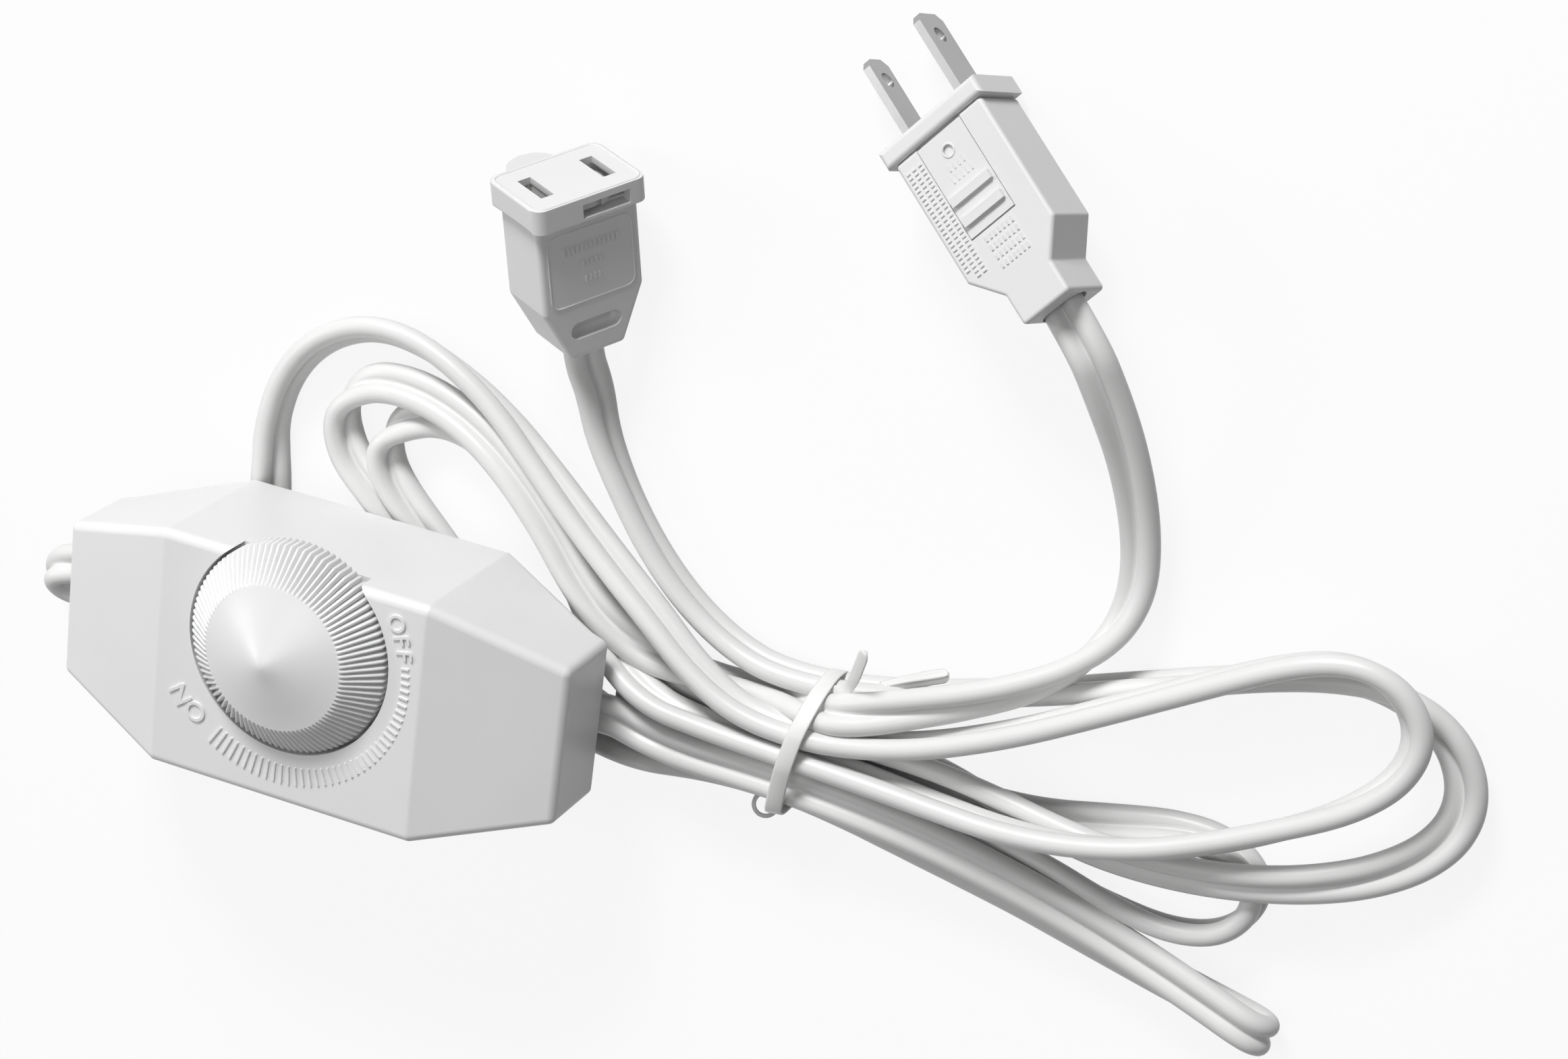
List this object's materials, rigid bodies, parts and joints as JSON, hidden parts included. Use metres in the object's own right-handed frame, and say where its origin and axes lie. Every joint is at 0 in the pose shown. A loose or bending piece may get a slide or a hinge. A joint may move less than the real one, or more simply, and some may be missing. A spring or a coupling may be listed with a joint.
{
  "type": "extension cord dimmer",
  "caption": "Inline lamp dimmer with a large ribbed dial, on a flat two-conductor extension cord with a fused plug and an outlet, the cord bundled with a twist tie.",
  "frame": {"origin": "centre of the box around the dimmer and its dial, without the cords and what is on them", "axes": "+X along the dimmer towards the cord that comes from the plug, +Y its top side, where the dial sticks out, +Z out of the dial"},
  "size_m": [0.288, 0.1739, 0.049],
  "materials": {
    "white_shell": "fine satin",
    "white_knob": "semi-gloss",
    "white_plug": "semi-gloss",
    "cord_jacket": "soft vinyl",
    "tie_plastic": "thin film",
    "nickel": "nickel plate",
    "contact_brass": "plain",
    "screw_steel": "zinc plate",
    "pot_steel": "plain",
    "sink_aluminium": "plain sheet",
    "board": "phenolic laminate",
    "shaft_plastic": "plain",
    "black_plastic": "plain",
    "copper": "enamelled wire",
    "capacitor": "dipped",
    "resistor_body": "plain",
    "fuse_glass": "clear"
  },
  "bodies": {
    "root": {"front_housing": "white_shell", "back_cover": "white_shell", "cover_screws": "screw_steel", "circuit_board": "board", "potentiometer": "pot_steel", "potentiometer_nut": "screw_steel", "heat_sink": "sink_aluminium", "triac": "black_plastic", "choke_core": "black_plastic", "choke_winding": "copper", "filter_capacitor": "capacitor", "timing_capacitor": "capacitor", "diac": "fuse_glass", "resistors": "resistor_body", "terminal_block_left": "black_plastic", "terminal_block_right": "black_plastic", "cord_clamp_left": "shaft_plastic", "cord_clamp_right": "shaft_plastic", "through_wire": "cord_jacket", "plug_shell_front": "white_plug", "plug_shell_back": "white_plug", "blade_narrow": "nickel", "blade_wide": "nickel", "fuses": "fuse_glass", "fuse_clips": "contact_brass", "socket_shell_front": "white_plug", "socket_shell_back": "white_plug", "contact_left": "contact_brass", "contact_right": "contact_brass", "plug_cord_lead": "cord_jacket", "plug_cord_hank": "cord_jacket", "plug_cord_tail": "cord_jacket", "socket_cord_lead": "cord_jacket", "socket_cord_hank": "cord_jacket", "socket_cord_tail": "cord_jacket", "twist_tie": "tie_plastic"},
    "dial": {"dial_knob": "white_knob", "dial_shaft": "shaft_plastic"},
    "door": {"fuse_door": "white_plug"},
    "shutter": {"safety_shutter": "white_knob"}
  },
  "joints": [
    {"name": "dial_turn", "type": "hinge", "parent": "root", "child": "dial", "pos_m": [0, 0.0057, 0], "axis": [0, 0, 1], "range_deg": [-150, 0]},
    {"name": "fuse_door_slide", "type": "slide", "parent": "root", "child": "door", "axis": [-0.7382, 0.6194, -0.2672], "range_m": [0, 0.009]},
    {"name": "shutter_turn", "type": "hinge", "parent": "root", "child": "shutter", "pos_m": [0.03606, 0.09728, -0.01107], "axis": [0.07, -0.9662, -0.2481], "range_deg": [0, 24]}
  ]
}
